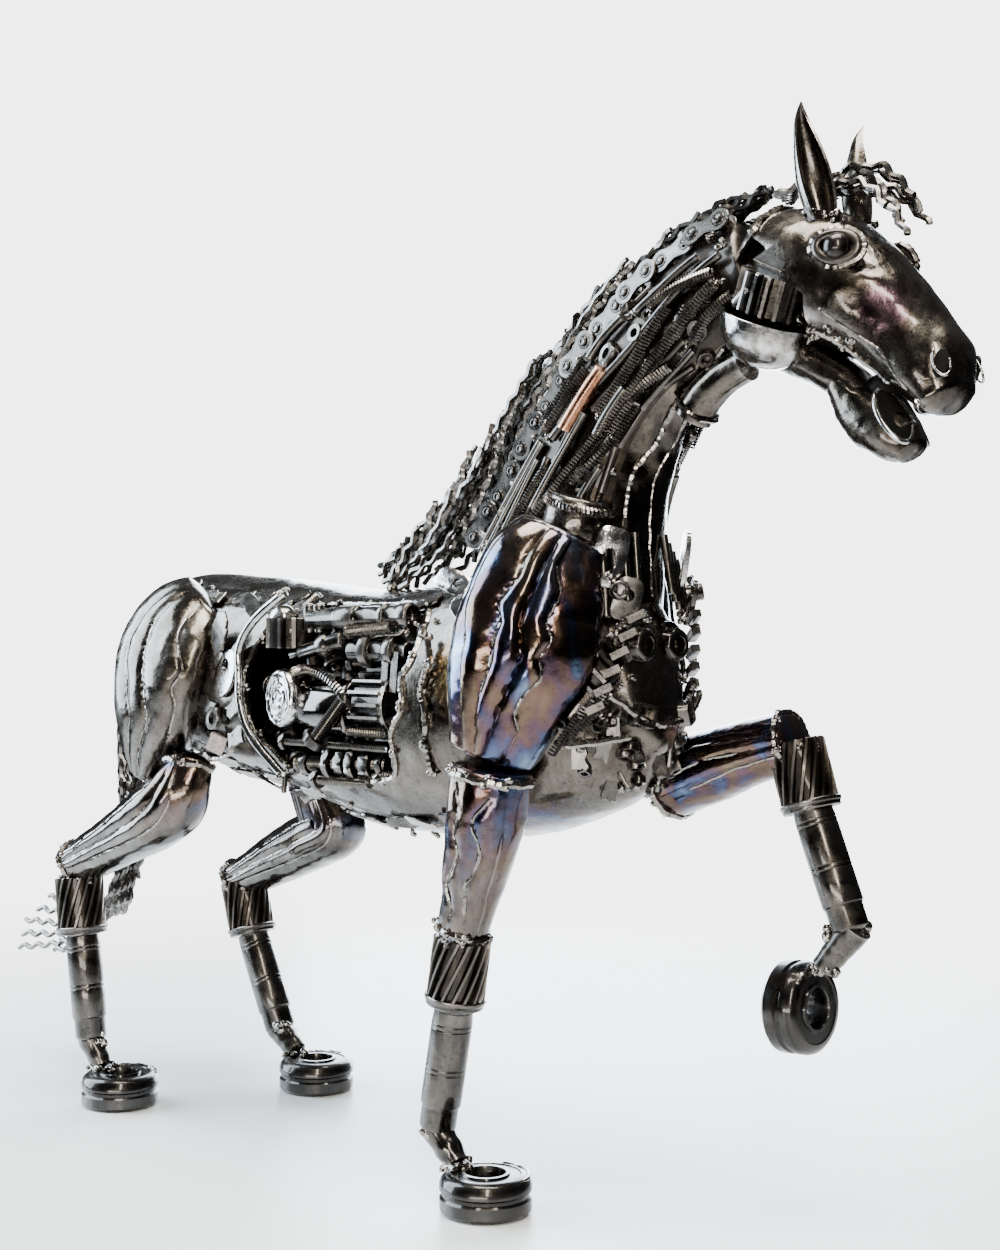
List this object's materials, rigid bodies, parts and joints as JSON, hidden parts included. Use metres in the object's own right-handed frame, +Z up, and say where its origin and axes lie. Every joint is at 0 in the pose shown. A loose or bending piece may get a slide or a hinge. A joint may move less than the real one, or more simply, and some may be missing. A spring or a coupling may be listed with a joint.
{
  "type": "scrap metal horse sculpture",
  "caption": "Prancing horse welded from scrap steel: shell body, pinion knees, ring-bearing hooves, crimped-rod mane and tail, machine parts let into flank and neck. Stands on its hooves.",
  "frame": {"origin": "middle of the footprint's bounding box, on the surface the hooves stand on", "axes": "+X towards the head, +Y to the horse's left, +Z up"},
  "size_m": [0.7148, 0.1644, 0.5332],
  "materials": {
    "shell": "polished sheet steel with a dark warm lacquer and welds left standing",
    "heated": "polished sheet steel with blue and brown heat tints",
    "machine": "worn and oiled machine steel",
    "bearing": "blackened, polished bearing steel",
    "rod": "dark lacquered crimped rod",
    "lens": "bright polished round end of a worn silver part"
  },
  "bodies": {
    "root": {"torso": "shell", "right_haunch": "shell", "left_haunch": "shell", "right_shoulder": "heated", "left_shoulder": "heated", "neck": "shell", "head": "shell", "lower_jaw": "shell", "right_ear": "shell", "left_ear": "shell", "right_forearm": "heated", "right_fore_knee_pinion": "machine", "right_fore_shank": "machine", "right_fore_hoof": "bearing", "right_fore_pastern": "machine", "right_gaskin": "heated", "right_hind_hock_pinion": "machine", "right_hind_shank": "machine", "right_hind_hoof": "bearing", "right_hind_pastern": "machine", "left_gaskin": "heated", "left_hind_hock_pinion": "machine", "left_hind_shank": "machine", "left_hind_hoof": "bearing", "left_hind_pastern": "machine", "left_forearm": "heated", "left_fore_knee_pinion": "machine", "left_fore_shank": "machine", "left_fore_hoof": "bearing", "left_fore_pastern": "machine", "right_cheek": "machine", "left_cheek": "machine", "right_jaw_gear": "machine", "left_jaw_gear": "machine", "right_eye": "bearing", "left_eye": "bearing", "right_chain": "machine", "left_chain": "machine", "right_neck_springs": "machine", "left_neck_springs": "machine", "right_neck_cup": "machine", "right_chest_gear": "machine", "right_chest_hub": "machine", "left_chest_hub": "machine", "right_flank_lens": "lens", "left_flank_lens": "lens", "right_flank_drum": "machine", "left_flank_drum": "machine", "right_flank_gear": "machine", "right_flank_tube": "machine", "right_flank_bolt": "machine", "right_flank_big_bolt": "machine", "right_flank_teeth": "machine", "right_flank_rib": "machine", "left_flank_rib": "machine", "mane": "rod", "forelock": "rod", "tail": "rod"}
  },
  "joints": []
}
